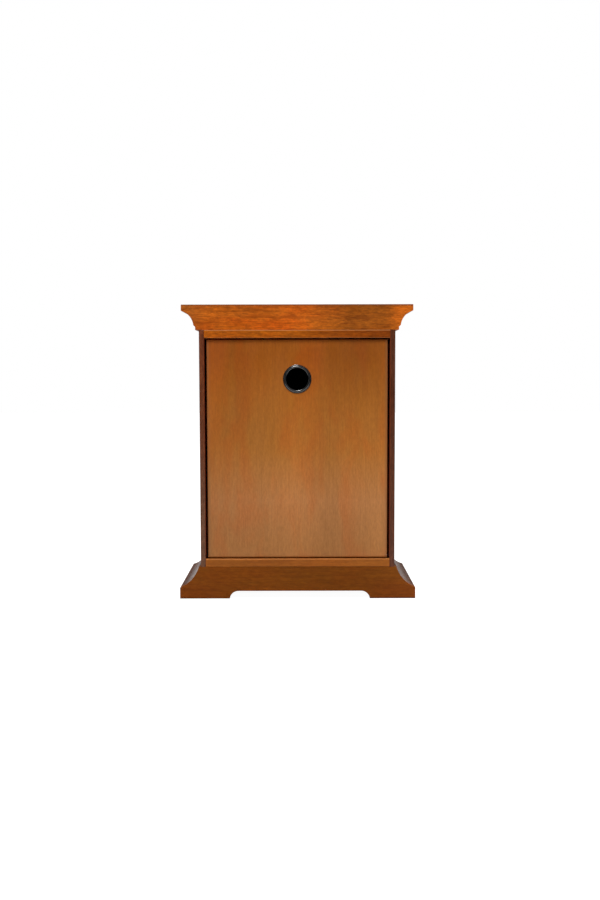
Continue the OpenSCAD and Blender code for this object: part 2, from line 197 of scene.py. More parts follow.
def wood(
    name, tone, axis, *, heart, taper, ring, figure, streak=0.3, blotch=0.25, pores=0.25, mottle=0.12,
    flake=0.0, seed, rough=0.36, spec=0.3, coat=0.0, shade=None, bump=0.12
):
    """Stained and lacquered wood whose grain runs along an axis of the frame.

    The figure is cut from cone-shaped growth rings about the heart, so a face shows arches and an end
    shows arcs. ring is the width of one growth ring. shade(g, colour, axes) may change the colour by its
    place on the board.
    """
    material, g, shader = start(name)
    split = g.node("ShaderNodeSeparateXYZ", {0: g.coords.outputs["Object"]}).outputs
    axes = [split[0], split[1], split[2]]
    u, v, w = (axes[i] for i in GRAIN[axis])
    along = g.xyz(u, v, w)
    shift = (seed * 1.37 + 0.3, seed * 0.71 + 0.9, seed * 2.13 + 0.2)

    def drawn(squeeze, *settings):
        """Noise that is drawn out along the grain."""
        return g.noise(g.stretch(along, (1, 1, squeeze), shift), *settings)

    # Growth rings
    warp = drawn(0.22, 9.0, 2.0, 0.45)
    waver = drawn(0.10, 60.0, 2.0, 0.5)
    du, dv = g.math("SUBTRACT", u, heart[0]), g.math("SUBTRACT", v, heart[1])
    radius = g.math("SQRT", g.add(g.mul(du, du), g.mul(dv, dv)))
    radius = g.math("MULTIPLY_ADD", w, taper, radius)
    radius = g.math("MULTIPLY_ADD", warp, 0.05, radius)
    radius = g.math("MULTIPLY_ADD", waver, 0.006, radius)
    turn = g.math("FRACT", g.mul(radius, 1 / ring))
    rings = g.ramp(turn, (0.0, 0.25), (0.12, 0.75), (0.5, 0.62), (0.86, 0.15), (0.97, 0.0), (1.0, 0.25))

    # Fibres, stain and pores
    fibre = drawn(0.018, 620.0, 3.0, 0.6)
    strand = drawn(0.045, 130.0, 3.0, 0.55)
    cloud = drawn(0.33, 17.0, 3.0, 0.55, 0.4)
    wide = drawn(0.5, 5.0, 1.0, 0.5)
    fleck = drawn(0.05, 1500.0, 1.0, 0.5)
    pore = g.fit(fleck, 0.66, 0.74)

    dark = toned(tone, 0.50, 0.40, 0.30)
    light = toned(tone, 1.42, 1.55, 1.75)
    red = toned(tone, 1.02, 0.72, 0.55)
    colour = g.mix(g.math("MULTIPLY_ADD", g.add(rings, -0.4), figure, 0.5), dark, light)
    colour = g.mix(g.mul(g.fit(strand, 0.35, 0.7, smooth=True), streak), colour, g.bright(colour, 0.62))
    colour = g.mix(g.mul(g.fit(cloud, 0.42, 0.68, smooth=True), blotch), colour, red)
    colour = g.bright(colour, g.fit(wide, 0.3, 0.7, 1 - 0.35 * blotch, 1 + 0.35 * blotch))
    colour = g.bright(colour, g.fit(fibre, 0.3, 0.7, 1 - 0.3 * streak, 1 + 0.3 * streak))
    fine = drawn(0.3, 260.0, 3.0, 0.7)
    colour = g.bright(colour, g.fit(fine, 0.36, 0.64, 1 - mottle, 1 + mottle))
    if flake:
        short = drawn(0.13, 150.0, 3.0, 0.65, 0.6)
        where = g.fit(drawn(0.5, 24.0, 2.0), 0.38, 0.6, 0.25, 1.3)
        flakes = g.mul(g.mul(g.fit(short, 0.5, 0.66, smooth=True), where), flake)
        colour = g.mix(flakes, colour, g.bright(dark, 0.9))
    colour = g.mix(g.mul(pore, pores), colour, toned(tone, 0.25, 0.2, 0.2))
    normal = g.node("ShaderNodeSeparateXYZ", {0: g.coords.outputs["Normal"]}).outputs["XYZ".index(axis)]
    end_grain = g.math("POWER", g.math("ABSOLUTE", normal), 6.0)
    colour = g.mix(g.mul(end_grain, 0.45), colour, g.bright(colour, 0.45))
    if shade:
        colour = shade(g, colour, axes)
    g.put(shader.inputs["Base Color"], colour)

    # Lacquer over slightly open grain
    sheen = drawn(0.4, 24.0, 3.0, 0.6)
    worn = g.math("MULTIPLY_ADD", g.fit(sheen, 0.3, 0.7), 0.12, rough - 0.06)
    g.put(shader.inputs["Roughness"], g.math("MULTIPLY_ADD", pore, 0.12, worn))
    height = g.math("MULTIPLY_ADD", pore, -0.8, g.math("MULTIPLY_ADD", strand, 0.5, fibre))
    g.put(shader.inputs["Normal"], g.bump(height, bump, 0.0004))
    g.put(shader.inputs["Specular IOR Level"], spec)
    g.put(shader.inputs["Coat Weight"], coat)
    g.put(shader.inputs["Coat Roughness"], 0.22)
    return material


# ---- Other finishes ----


def solid(
    name, colour, rough, metallic=0.0, *, mottle, grain, bump, depth=0.0001, along=None, spec=0.5, coat=0.0
):
    """Plastic, rubber or metal with a fine surface grain. along brushes it along an axis of the frame."""
    spread = 0.1
    material, g, shader = start(name)
    squeeze = [1.0, 1.0, 1.0]
    if along:
        squeeze["XYZ".index(along)] = 0.03
    place = g.stretch(g.coords.outputs["Object"], squeeze)
    fine = g.noise(place, grain, 2.0, 0.6)
    broad = g.noise(g.coords.outputs["Object"], 45.0, 3.0, 0.6)
    shift = g.fit(broad, 0.3, 0.7, 1 - mottle, 1 + mottle)
    g.put(shader.inputs["Base Color"], g.bright(colour, g.mul(shift, g.fit(fine, 0.2, 0.8, 0.93, 1.07))))
    uneven = g.math("MULTIPLY_ADD", g.fit(broad, 0.3, 0.7), spread, rough - spread / 2)
    g.put(shader.inputs["Roughness"], uneven)
    g.put(shader.inputs["Metallic"], metallic)
    g.put(shader.inputs["Specular IOR Level"], spec)
    g.put(shader.inputs["Coat Weight"], coat)
    g.put(shader.inputs["Coat Roughness"], 0.12)
    g.put(shader.inputs["Normal"], g.bump(fine, bump, depth))
    return material


def felt(name, colour):
    """Pressed wool: short tangled fibres, small pills of a second shade, and a soft sheen."""
    material, g, shader = start(name)
    place = g.coords.outputs["Object"]
    tangle = g.noise(place, 900.0, 4.0, 0.7, 2.0)
    hair = g.noise(g.stretch(place, (1, 0.15, 1)), 1400.0, 2.0, 0.6, 1.5)
    broad = g.noise(place, 30.0, 3.0, 0.6)
    tone = g.mix(g.fit(tangle, 0.3, 0.7), toned(colour, 0.62), toned(colour, 1.35))
    tone = g.mix(g.mul(g.fit(hair, 0.6, 0.72), 0.5), tone, toned(colour, 2.4, 2.3, 2.2))
    g.put(shader.inputs["Base Color"], g.bright(tone, g.fit(broad, 0.3, 0.7, 0.85, 1.12)))
    g.put(shader.inputs["Roughness"], 0.95)
    g.put(shader.inputs["Sheen Weight"], 0.4)
    g.put(shader.inputs["Sheen Roughness"], 0.5)
    g.put(shader.inputs["Normal"], g.bump(g.add(tangle, hair), 0.6, 0.0006))
    return material


# ---- Colours and boards ----

CROWN = srgb(224, 113, 26)
CROWN_LIT = srgb(172, 92, 26)
CROWN_TOP = srgb(138, 76, 26)
BOARD = srgb(174, 88, 12)
BASE_BOARD = srgb(165, 93, 30)
DOOR = srgb(192, 126, 68)
PANEL = srgb(176, 104, 34)
SIDE = srgb(110, 58, 31)
PLINTH = srgb(127, 68, 12)
# the side mouldings' stain is darkened as painted shade, for faces that the light reaches less
PLINTH_SIDE_SHADED = srgb(100, 56, 28)
RAW = srgb(205, 170, 118)
TOP_LINE = srgb(128, 72, 40)
DOOR_SIDES = srgb(146, 98, 58)
# painted bounce light on the door's narrow edges
DOOR_EDGE_PAINTED_BOUNCE = srgb(156, 72, 26)
# painted bounce light on the side panels' inner faces in the reveal
REVEAL_PAINTED_BOUNCE = srgb(132, 56, 24)

floor_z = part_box("bottom_board")[1].z
ceiling_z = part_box("top_board")[0].z
crown_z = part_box("top_board")[1].z
plinth_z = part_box("bottom_board")[0].z
rear_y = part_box("bottom_board")[0].y


def times(g, factor, colour, by):
    """colour multiplied by another colour, as far as factor says."""
    return g.mix(factor, colour, g.mix(1.0, colour, (*by, 1), "MULTIPLY"))


def crown_shade(g, colour, axes):
    """Deeper in a patch towards +X and at the -X end, with a darker line along the top edge."""
    x, _, z = axes
    patch = g.mul(g.fit(x, -0.02, 0.13, smooth=True), g.fit(x, 0.25, 0.20, smooth=True))
    colour = times(g, patch, colour, (0.52, 0.60, 0.75))
    colour = times(g, g.fit(x, -0.20, -0.25, smooth=True), colour, (0.68, 0.80, 1.25))
    top = g.fit(z, cad_box[1].z - 0.006, cad_box[1].z - 0.001, 0.0, 0.7, smooth=True)
    return g.mix(top, colour, TOP_LINE)


def painted_edge_highlights(low, high, pale, strength, deeper=(1, 1, 1)):
    """Painted highlights: paler lines along a board's two rear edges at heights low and high, where the eased
    edges catch the light.

    deeper multiplies the stain towards +X.
    """

    def shade(g, colour, axes):
        x, y, z = axes
        colour = times(g, g.fit(x, -0.05, 0.2, smooth=True), colour, deeper)
        rear = g.fit(y, rear_y + 0.002, rear_y + 0.003, 1.0, 0.0)
        # painted highlights along the upper and lower rear edges
        upper = g.mul(g.fit(z, high - 0.0024, high - 0.0012), strength)
        lower = g.mul(g.fit(z, low + 0.0008, low + 0.0016, 1.0, 0.0), strength * 0.35)
        return g.mix(g.mul(rear, g.add(upper, lower)), colour, pale)

    return shade


def door_shade(g, colour, axes):
    """Painted shade at the top and a painted floor reflection low down, a paler, greyer face near both sides,
    and painted bounce light on the narrow edges.
    """
    x, y, z = axes
    lo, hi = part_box("access_door")
    height = g.fit(z, lo.z, hi.z)
    # painted shade towards the top and a painted reflection of the floor lower down, as a colour ramp on
    # height
    painted_shade_and_reflection = g.ramp(
        height, (0.05, (0.80, 0.80, 0.70, 1)), (0.26, (1, 1, 1, 1)), (0.49, (0.925, 0.825, 0.42, 1)),
        (0.71, (0.83, 0.665, 0.255, 1)), (0.93, (0.66, 0.44, 0.10, 1))
    )
    colour = g.mix(1.0, colour, painted_shade_and_reflection, "MULTIPLY")
    side = g.fit(g.math("ABSOLUTE", x), hi.x - 0.009, hi.x - 0.001, 0.0, 0.6, smooth=True)
    outer = g.fit(y, lo.y + 0.003, lo.y + 0.004, 1.0, 0.0)
    colour = g.mix(g.mul(side, outer), colour, DOOR_SIDES)
    # painted bounce light on the narrow side edges, as in the gap beside the door
    return g.mix(g.fit(g.math("ABSOLUTE", x), hi.x - 0.0006, hi.x - 0.0003), colour, DOOR_EDGE_PAINTED_BOUNCE)


def side_shade(g, colour, axes):
    """Deeper on the +X panel, a painted floor reflection low down on the -X one, and painted bounce light in
    the reveal round the door.
    """
    x, y, z = axes
    rear = g.fit(y, rear_y + 0.001, rear_y + 0.012, 1.0, 0.0, smooth=True)
    low = g.fit(z, 0.5, 0.15, 0.0, 1.0, smooth=True)
    left = g.fit(x, -0.1, 0.1, 1.0, 0.0)
    # painted reflection of the floor: the -X panel's rear edge greyer low down
    colour = times(g, g.mul(g.mul(rear, low), left), colour, (1.1, 1.6, 2.2))
    colour = times(g, g.mul(g.math("SUBTRACT", 1.0, left), rear), colour, (0.74, 0.76, 0.84))
    # painted bounce light on the inner faces in the reveal beside the door
    inner_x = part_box("side_panel_right")[0].x
    inside = g.fit(g.math("ABSOLUTE", x), inner_x + 0.0004, inner_x + 0.001, 1.0, 0.0)
    reveal = g.mul(inside, g.fit(y, rear_y + 0.02, rear_y + 0.05, 1.0, 0.0, smooth=True))
    return g.mix(reveal, colour, REVEAL_PAINTED_BOUNCE)


def plinth_shade(g, colour, axes):
    """Redder and darker at the feet, with a painted contact shadow along the bottom edge."""
    x, _, z = axes
    foot = g.mul(g.fit(g.math("ABSOLUTE", x), 0.10, 0.24, smooth=True), g.fit(z, 0.07, 0.01, smooth=True))
    colour = times(g, g.mul(foot, 0.8), colour, (1.0, 0.78, 0.95))
    # painted contact shadow along the bottom edge
    painted_contact_shadow = g.fit(z, 0.0045, 0.0015, 0.0, 0.8, smooth=True)
    return times(g, painted_contact_shadow, colour, (0.30, 0.26, 0.26))


WOODS = {
    "crown_rear": wood(
        "crown_lacquer_rear", CROWN, "X", heart=(0.05, 0.60), taper=0.04, ring=0.009, figure=0.16, streak=0.6,
        blotch=0.75, flake=0.5, mottle=0.28, seed=1, spec=0.2, shade=crown_shade),
    "crown_side": wood(
        "crown_lacquer_side", CROWN_LIT, "Y", heart=(0.0, 0.58), taper=0.05, ring=0.009, figure=0.2,
        streak=0.5, blotch=0.5, flake=0.4, seed=2),
    "crown_front": wood(
        "crown_lacquer_front", CROWN_LIT, "X", heart=(0.2, 0.56), taper=0.04, ring=0.009, figure=0.2,
        streak=0.5, blotch=0.5, flake=0.4, seed=3),
    "crown_top": wood(
        "crown_lacquer_top", CROWN_TOP, "X", heart=(0.01, 0.62), taper=0.16, ring=0.016, figure=0.25,
        streak=0.4, blotch=0.45, flake=0.3, seed=4),
    # the top and bottom boards carry painted edge highlights in the pale colours given below
    "top_board": wood(
        "board_lacquer_top", BOARD, "X", heart=(0.0, 0.54), taper=0.05, ring=0.01, figure=0.16, streak=0.5,
        blotch=0.5, flake=0.4, mottle=0.28, seed=5, spec=0.2,
        shade=painted_edge_highlights(ceiling_z, crown_z, srgb(214, 140, 84), 0.9, (0.66, 0.56, 0.8))),
    "bottom_board": wood(
        "board_lacquer_bottom", BASE_BOARD, "X", heart=(0.0, 0.17), taper=0.05, ring=0.01, figure=0.14,
        streak=0.35, blotch=0.3, seed=6, spec=0.12,
        shade=painted_edge_highlights(plinth_z, floor_z, srgb(186, 118, 60), 0.8)),
    "side": wood(
        "side_lacquer", SIDE, "Z", heart=(0.0, 0.0), taper=0.12, ring=0.014, figure=0.2, streak=0.5,
        blotch=0.4, flake=0.3, mottle=0.25, seed=7, shade=side_shade),
    "stop": wood("stop_lacquer", SIDE, "X", heart=(0.0, 0.0), taper=0.12, ring=0.014, figure=0.2, seed=19),
    "door": wood(
        "panel_lacquer_door", DOOR, "Z", heart=(0.035, -0.075), taper=0.24, ring=0.019, figure=0.06,
        streak=0.2, blotch=0.5, mottle=0.09, pores=0.15, seed=8, rough=0.4, shade=door_shade),
    "front": wood(
        "panel_lacquer_front", PANEL, "Z", heart=(-0.03, 0.02), taper=0.22, ring=0.017, figure=0.12,
        streak=0.3, blotch=0.35, seed=9),
    "chute": wood(
        "panel_lacquer_chute", PANEL, "X", heart=(0.0, 0.3), taper=0.1, ring=0.015, figure=0.15, streak=0.35,
        blotch=0.3, seed=10),
    "plinth_rear": wood(
        "plinth_lacquer_rear", PLINTH, "X", heart=(0.02, -0.05), taper=0.1, ring=0.009, figure=0.12,
        streak=0.35, blotch=0.35, flake=0.15, seed=11, spec=0.08, shade=plinth_shade),
    "plinth_side": wood(
        "plinth_lacquer_side_painted_shade", PLINTH_SIDE_SHADED, "Y", heart=(0.1, 0.1), taper=0.08, ring=0.009, figure=0.16,
        streak=0.45, blotch=0.3, flake=0.3, seed=12, spec=0.4, coat=0.5, rough=0.45),
    "plinth_front": wood(
        "plinth_lacquer_front", PLINTH, "X", heart=(0.2, -0.02), taper=0.08, ring=0.009, figure=0.16,
        streak=0.45, blotch=0.4, flake=0.2, seed=13, spec=0.15),
    "trim_x": wood(
        "trim_lacquer_flat", PLINTH, "X", heart=(0.1, 0.5), taper=0.05, ring=0.008, figure=0.2, streak=0.4,
        blotch=0.3, seed=14),
    "trim_z": wood(
        "trim_lacquer_upright", PLINTH, "Z", heart=(0.1, 0.1), taper=0.05, ring=0.008, figure=0.2, streak=0.4,
        blotch=0.3, seed=15),
}
for key, name, axis, heart, seed in (
    ("raw_x", "raw_wood_flat", "X", (0.05, 0.3), 16),
    ("raw_y", "raw_wood_deep", "Y", (0.2, 0.3), 17),
    ("raw_z", "raw_wood_upright", "Z", (0.05, 0.05), 18),
):
    WOODS[key] = wood(
        name, RAW, axis, heart=heart, taper=0.05, ring=0.006, figure=0.3, blotch=0.15, seed=seed, rough=0.72,
        bump=0.3)
FINISHES = {
    "black_plastic": solid(
        "black_plastic", srgb(9, 9, 10), 0.2, mottle=0.15, grain=1800, bump=0.05, spec=0.9, coat=0.9),
    "black_steel": solid(
        "black_steel", srgb(30, 30, 31), 0.5, mottle=0.12, grain=1400, bump=0.45, depth=0.0002),
    "bright_steel": solid(
        "bright_steel", srgb(142, 142, 142), 0.36, 1.0, mottle=0.08, grain=700, bump=0.08, along="X"),
    "zinc": solid("zinc_screws", srgb(176, 172, 160), 0.34, 1.0, mottle=0.12, grain=1200, bump=0.1),
    "nylon": solid("nylon", srgb(26, 12, 7), 0.8, mottle=0.05, grain=1100, bump=0.06, spec=0.05),
    "brown_plastic": solid("brown_plastic", srgb(84, 52, 30), 0.4, mottle=0.1, grain=1500, bump=0.12),
    "black_rubber": solid("black_rubber", srgb(34, 34, 34), 0.8, mottle=0.1, grain=1600, bump=0.2),
    "felt": felt("felt", srgb(62, 74, 64)),
    "tape": felt("tape", srgb(38, 44, 40)),
    "thread": solid("thread", srgb(120, 122, 104), 0.8, mottle=0.2, grain=2500, bump=0.5),
}


# ---- Frame nodes ----

JOIN, LAST_JOIN = 2e-5, 1e-5  # points nearer than this become one, before and after the edges are eased
FLAT = 0.005  # faces that turn by less than this, in radians, are joined
SHARP = math.radians(25)
EASED_FROM = math.radians(34)  # only an edge that turns by more than this is eased


def clean_group():
    """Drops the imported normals, and marks an edge sharp where its two faces meet at more than SHARP."""
    group = bpy.data.node_groups.new("clean_normals", "GeometryNodeTree")
    for way in ("INPUT", "OUTPUT"):
        group.interface.new_socket("Geometry", in_out=way, socket_type="NodeSocketGeometry")
    g = Graph(group)
    source, out = g.node("NodeGroupInput"), g.node("NodeGroupOutput")
    drop = g.node("GeometryNodeRemoveAttribute", {"Geometry": source.outputs[0], "Name": "custom_normal"})
    faces = g.node("GeometryNodeSetShadeSmooth", {0: drop.outputs[0], "Shade Smooth": True}, domain="FACE")
    angle = g.node("GeometryNodeInputMeshEdgeAngle")
    flat = g.math("LESS_THAN", angle.outputs[0], SHARP)
    edges = g.node("GeometryNodeSetShadeSmooth", {0: faces.outputs[0], "Shade Smooth": flat}, domain="EDGE")
    g.put(out.inputs[0], edges.outputs[0])
    return group


CLEAN = clean_group()


def dress(node, material, ease):
    """Gives a frame node its finish, joins its flat faces, and eases its edges by ease."""
    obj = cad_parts[node]
    obj.data.materials.clear()
    obj.data.materials.append(material)
    weld = obj.modifiers.new("weld", "WELD")
    weld.merge_threshold = JOIN
    merge = obj.modifiers.new("merge", "DECIMATE")
    merge.decimate_type, merge.angle_limit = "DISSOLVE", FLAT
    clean = obj.modifiers.new("clean", "NODES")
    clean.node_group = CLEAN
    bevel = obj.modifiers.new("ease", "BEVEL")
    bevel.width, bevel.segments, bevel.limit_method = ease, 2, "ANGLE"
    bevel.angle_limit, bevel.harden_normals, bevel.use_clamp_overlap = EASED_FROM, True, True
    last = obj.modifiers.new("last", "WELD")
    last.merge_threshold = LAST_JOIN


WOODEN_NODES = {
    "crown_rear": ["crown_rear_board"],
    "crown_side": ["crown_moulding_left", "crown_moulding_right"],
    "crown_front": ["crown_moulding_front"],
    "crown_top": ["crown_top_panel"],
    "top_board": ["top_board"],
    "bottom_board": ["bottom_board"],
    "side": ["side_panel_left", "side_panel_right"],
    "stop": ["door_stop"],
    "door": ["access_door"],
    "front": ["front_panel"],
    "chute": ["chute_board"],
    "plinth_rear": ["plinth_rear_board"],
    "plinth_side": ["plinth_moulding_left", "plinth_moulding_right"],
    "plinth_front": ["plinth_moulding_front"],
    "trim_x": ["slot_trim_top", "slot_trim_bottom"],
    "trim_z": ["slot_trim_left", "slot_trim_right"],
    "raw_x": ["crown_rail_front", "plinth_rail_front"],
    "raw_y": ["crown_rail_left", "crown_rail_right", "plinth_rail_left", "plinth_rail_right",
              "chute_cleat_left", "chute_cleat_right"],
    "raw_z": ["crown_corner_blocks", "plinth_corner_blocks"],
}
SMALL_NODES = {
    "black_steel": ["flap_bracket_left", "flap_bracket_right"],
    "bright_steel": ["door_pin_left", "door_pin_right", "strike_plate_left", "strike_plate_right", "flap_rod",
                     "rod_clips", "catch_magnets"],
    "nylon": ["door_bushes", "door_washers", "glides"],
    "brown_plastic": ["catch_case_left", "catch_case_right"],
    "black_rubber": ["flap_bumpers"],
}
for finishes, ease, dressed in ((WOODS, 0.6 * MM, WOODEN_NODES), (FINISHES, 0.2 * MM, SMALL_NODES)):
    for finish, nodes in dressed.items():
        for node in nodes:
            dress(node, finishes[finish], ease)

# ---- Detailed pieces ----


def piece(name, mesh, material, body, stands_for=(), sharp=32):
    """Adds a mesh as a piece on a body, smooth but for edges that turn by more than sharp degrees, if any."""
    obj = bpy.data.objects.new(name, mesh)
    scene.collection.objects.link(obj)
    mesh.materials.clear()
    mesh.materials.append(material)
    mesh.shade_smooth()
    if sharp:
        mesh.set_sharp_from_angle(angle=math.radians(sharp))
    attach(obj, body)
    if stands_for:
        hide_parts(*stands_for)
    return obj


def built(bm):
    """The mesh of a bmesh, with its faces turned outwards."""
    bmesh.ops.recalc_face_normals(bm, faces=bm.faces)
    mesh = bpy.data.meshes.new("mesh")
    bm.to_mesh(mesh)
    bm.free()
    return mesh


def evaluated(obj):
    """The mesh of an object as its modifiers leave it."""
    bpy.context.view_layer.update()
    return bpy.data.meshes.new_from_object(obj.evaluated_get(bpy.context.evaluated_depsgraph_get()))


def turned(lo, hi, turn):
    """The transform that stands a lathed piece on the lowest Y of a box, on the box's middle in X and Z."""
    place = Matrix.Translation(((lo.x + hi.x) / 2, lo.y, (lo.z + hi.z) / 2))
    return place @ Matrix.Rotation(turn, 4, "X")


def lathe(profile, steps, radius=lambda r, turn: r):
    """A (radius, height) outline turned about Z, and closed on itself unless an end lies on Z.

    radius() may change a point's radius by its turn.
    """
    bm = bmesh.new()
    turns = [2 * math.pi * i / steps for i in range(steps)]
    rings = []
    for r, h in profile:
        if r == 0:
            rings.append([bm.verts.new((0, 0, h))] * steps)
            continue
        reach = [radius(r, t) for t in turns]
        rings.append([bm.verts.new((d * math.cos(t), d * math.sin(t), h)) for d, t in zip(reach, turns)])
    closed = profile[0][0] > 0 and profile[-1][0] > 0
    for a, b in zip(rings, rings[1:] + ([rings[0]] if closed else [])):
        for i in range(steps):
            j = (i + 1) % steps
            corners = list(dict.fromkeys((a[i], a[j], b[j], b[i])))
            if len(corners) > 2:
                bm.faces.new(corners)
    return bm


def curve(points, steps):
    """Points of a smooth line through the given ones, steps to each stretch."""
    out = []
    last = len(points) - 1
    for i in range(last):
        p = [Vector(points[max(0, min(last, k))]) for k in (i - 1, i, i + 1, i + 2)]
        for step in range(steps):
            t = step / steps
            out.append(
                0.5 * (2 * p[1] + (p[2] - p[0]) * t + (2 * p[0] - 5 * p[1] + 4 * p[2] - p[3]) * t ** 2
                       + (3 * p[1] - p[0] - 3 * p[2] + p[3]) * t ** 3)
            )
    return [tuple(v) for v in out] + [tuple(points[-1])]


# ---- Finger ring and its collar ----

FLANGE = 3.5 * MM  # how far the ring's flange stands out past its sleeve
RIM = 7.5 * MM  # from the flange's edge to the opening
RIB = 0.25 * MM
COLLAR_BEVEL = 0.5 * MM
NOTCHES, NOTCH = 16, 1.1 * MM


def finger_ring():
    """A moulded ring with a domed lip, a ribbed bore and a sleeve through the door."""
    lo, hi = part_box("finger_ring")
    outer = (hi.x - lo.x) / 2
    bore_r, sleeve_r = outer - RIM, outer - FLANGE
    door_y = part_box("access_door")[0].y
    proud = door_y - lo.y
    depth = hi.y - lo.y - proud
    flange = [(outer - a * MM, proud * b) for a, b in (
        (0.0, 0.04), (0.0, 0.3), (0.12, 0.4), (0.4, 0.46), (1.3, 0.46), (2.2, 0.46))]
    bead = [(outer - a * MM, proud * b) for a, b in (
        (2.4, 0.5), (2.7, 0.7), (3.3, 0.88), (4.1, 0.98), (4.9, 1.0), (5.7, 0.96), (6.5, 0.84), (7.1, 0.6),
        (7.42, 0.3), (7.5, -0.1))]
    front = flange + [q[:2] for q in curve([(*q, 0) for q in bead], 3)]
    ribs = []
    for i in range(6):
        start_h = -depth * (0.2 + 0.12 * i)
        ribs += [(bore_r, start_h), (bore_r + RIB, start_h - 0.3 * MM),
                 (bore_r + RIB, start_h - 0.9 * MM), (bore_r, start_h - 1.2 * MM)]
    sleeve = [(bore_r, -depth + 0.3 * MM), (bore_r + 0.3 * MM, -depth), (sleeve_r - 0.3 * MM, -depth),
              (sleeve_r, -depth + 0.3 * MM), (sleeve_r, -0.05 * MM), (outer - 0.2 * MM, 0.0)]
    bm = lathe(front + ribs + sleeve, 128)
    bm.transform(turned(Vector((lo.x, door_y, lo.z)), hi, math.pi / 2))
    black = FINISHES["black_plastic"]
    piece("finger_ring_moulded", built(bm), black, "door", ["finger_ring"])


def ring_collar():
    """The nut behind the door, with finger notches round its rim and a chamfered face."""
    lo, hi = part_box("ring_collar")
    outer, thick = (hi.x - lo.x) / 2, hi.y - lo.y
    ring_lo, ring_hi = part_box("finger_ring")
    inner = (ring_hi.x - ring_lo.x) / 2 - FLANGE

    def notched(r, turn):
        deep = max(0.0, math.cos(NOTCHES * turn)) ** 6
        return r - (NOTCH * deep if r > outer - 1.6 * MM else 0.0)

    rim = [(inner, 0), (outer - COLLAR_BEVEL, 0), (outer, COLLAR_BEVEL), (outer, thick - COLLAR_BEVEL),
           (outer - COLLAR_BEVEL, thick)]
    face = [(outer - 2.2 * MM, thick), (outer - 2.5 * MM, thick - 0.35 * MM),
            (outer - 3.1 * MM, thick - 0.35 * MM), (outer - 3.4 * MM, thick), (inner + 0.4 * MM, thick),
            (inner, thick - 0.4 * MM)]
    bm = lathe(rim + face, 192, notched)
    bm.transform(turned(lo, hi, -math.pi / 2))
    black = FINISHES["black_plastic"]
    piece("ring_collar_notched", built(bm), black, "door", ["ring_collar"])


# ---- Screws ----

THREAD = 1.4 * MM  # from one turn of a screw's thread to the next
POINT = 2.5 * MM


def islands(node):
    """The separate solids of a frame node, as lists of vertex places."""
    bm = bmesh.new()
    bm.from_mesh(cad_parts[node].data)
    bmesh.ops.remove_doubles(bm, verts=bm.verts, dist=JOIN)
    seen, found = set(), []
    for first in bm.verts:
        if first in seen:
            continue
        group, edge = [], [first]
        seen.add(first)
        while edge:
            vert = edge.pop()
            group.append(vert.co.copy())
            for link in vert.link_edges:
                other = link.other_vert(vert)
                if other not in seen:
                    seen.add(other)
                    edge.append(other)
        found.append(group)
    bm.free()
    return found


def screw(head_r, pan, length, core):
    """One screw standing on Z, its head's top at 0: a flat or pan head with a cross recess, and a thread."""
    # shape holds the radii and heights of the head's outline, as shares of head_r
    if pan:
        high = 0.62 * head_r
        shape = ((0, 0), (0.35, -0.03), (0.65, -0.12), (0.86, -0.27), (0.97, -0.45), (1, -0.62))
    else:
        high = head_r - core
        shape = ((0, 0), (0.9, 0), (1, -0.08), (0.97, -0.16))
    head = [(r * head_r, h * head_r) for r, h in shape] + [(core, -high)]
    shank, z = [], -high - 1.2 * MM
    while z > -length + 3.2 * MM:
        shank += [(core, z), (core * 0.7, z - 0.5 * MM), (core * 0.7, z - 0.9 * MM)]
        z -= THREAD
    point = [(core * 0.6, -length + POINT), (0, -length)]
    body = bpy.data.objects.new("screw", built(lathe(head + shank + point, 32)))
    cutter = bmesh.new()
    for turn in (0, math.pi / 2):
        for v in bmesh.ops.create_cube(cutter, size=1.0)["verts"]:
            long, wide, high = (0.5, 0.16, -0.42) if v.co.z < 0 else (1.16, 0.26, 0.2)
            v.co = Vector((v.co.x * head_r * long, v.co.y * head_r * wide, high * head_r))
            if turn:
                v.co = Vector((v.co.y, -v.co.x, v.co.z))
    tool = bpy.data.objects.new("cross", built(cutter))
    for obj in (body, tool):
        scene.collection.objects.link(obj)
    cut = body.modifiers.new("cut", "BOOLEAN")
    cut.object, cut.operation, cut.solver, cut.use_self = tool, "DIFFERENCE", "EXACT", True
    mesh = evaluated(body)
    for obj in (body, tool):
        bpy.data.objects.remove(obj)
    return mesh


def screws(node, facing, body, pan):
    """Detailed screws where a frame node holds plain ones, heads towards facing, each turned its own way."""
    facing = Vector(facing).normalized()
    whole = bmesh.new()
    for index, group in enumerate(islands(node)):
        reach = [p.dot(facing) for p in group]
        top = max(reach)
        rim = [p for p, r in zip(group, reach) if r > top - 0.1 * MM]
        centre = sum(rim, Vector()) / len(rim)
        head_r = max((p - centre).length for p in rim)
        bottom = min(reach)
        tip = [p for p, r in zip(group, reach) if r < bottom + 0.1 * MM]
        end = sum(tip, Vector()) / len(tip)
        core = max((p - end).length for p in tip)
        mesh = screw(head_r, pan, top - bottom, core)
        turn = Matrix.Rotation(0.7 + 2.4 * index, 4, "Z")
        place = Matrix.Translation(centre) @ facing.to_track_quat("Z", "X").to_matrix().to_4x4() @ turn
        mesh.transform(place)
        whole.from_mesh(mesh)
        bpy.data.meshes.remove(mesh)
    piece(node + "_crosshead", built(whole), FINISHES["zinc"], body, [node], 28)


# ---- Slot flap ----

SHEET = 1.4 * MM
SHEET_BEND = 2.2 * MM
SHEET_EASE = 0.35 * MM


